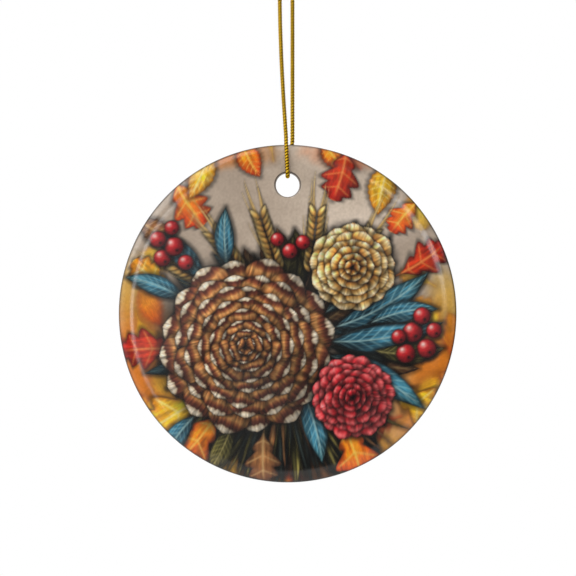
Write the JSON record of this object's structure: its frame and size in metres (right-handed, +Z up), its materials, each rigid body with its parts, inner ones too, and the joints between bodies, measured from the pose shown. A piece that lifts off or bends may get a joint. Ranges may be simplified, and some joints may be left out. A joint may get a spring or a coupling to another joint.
{
  "type": "ceramic hanging ornament",
  "caption": "Flat round ceramic ornament with a rounded rim, printed front and a hanging hole near the top, on a knotted loop of thin gold cord.",
  "frame": {"origin": "the point where the loop hangs, inside the loop just under its knot, in line with the middle of the disc's thickness", "axes": "+Z up, -Y towards the printed front, +X to the right as seen from the front"},
  "size_m": [0.073, 0.0055, 0.144],
  "materials": {
    "glazed_ceramic": "white glaze, glossy, slightly wavy",
    "printed_coat": "glossy clear coat over a full-colour autumn print that wraps round the rim",
    "gold_cord": "twisted metallic thread, bright gold"
  },
  "bodies": {
    "loop": {"cord_front_strand": "gold_cord", "cord_back_strand": "gold_cord", "cord_knot": "gold_cord", "cord_tail_left": "gold_cord", "cord_tail_right": "gold_cord"},
    "bight": {"cord_bight": "gold_cord"},
    "disc": {"ceramic_disc": "glazed_ceramic", "print_coat": "printed_coat"}
  },
  "joints": [
    {"name": "cord_twist", "type": "hinge", "parent": "loop", "child": "bight", "pos_m": [0, 0, -0.059], "axis": [0, 0, 1], "range_deg": [-170, 170], "stiffness_Nm_per_rad": 0.000015, "deforming": ["cord_front_strand", "cord_back_strand"]},
    {"name": "disc_rock", "type": "hinge", "parent": "bight", "child": "disc", "pos_m": [0, 0, -0.0662], "axis": [0, 1, 0], "range_deg": [-45, 45]}
  ]
}
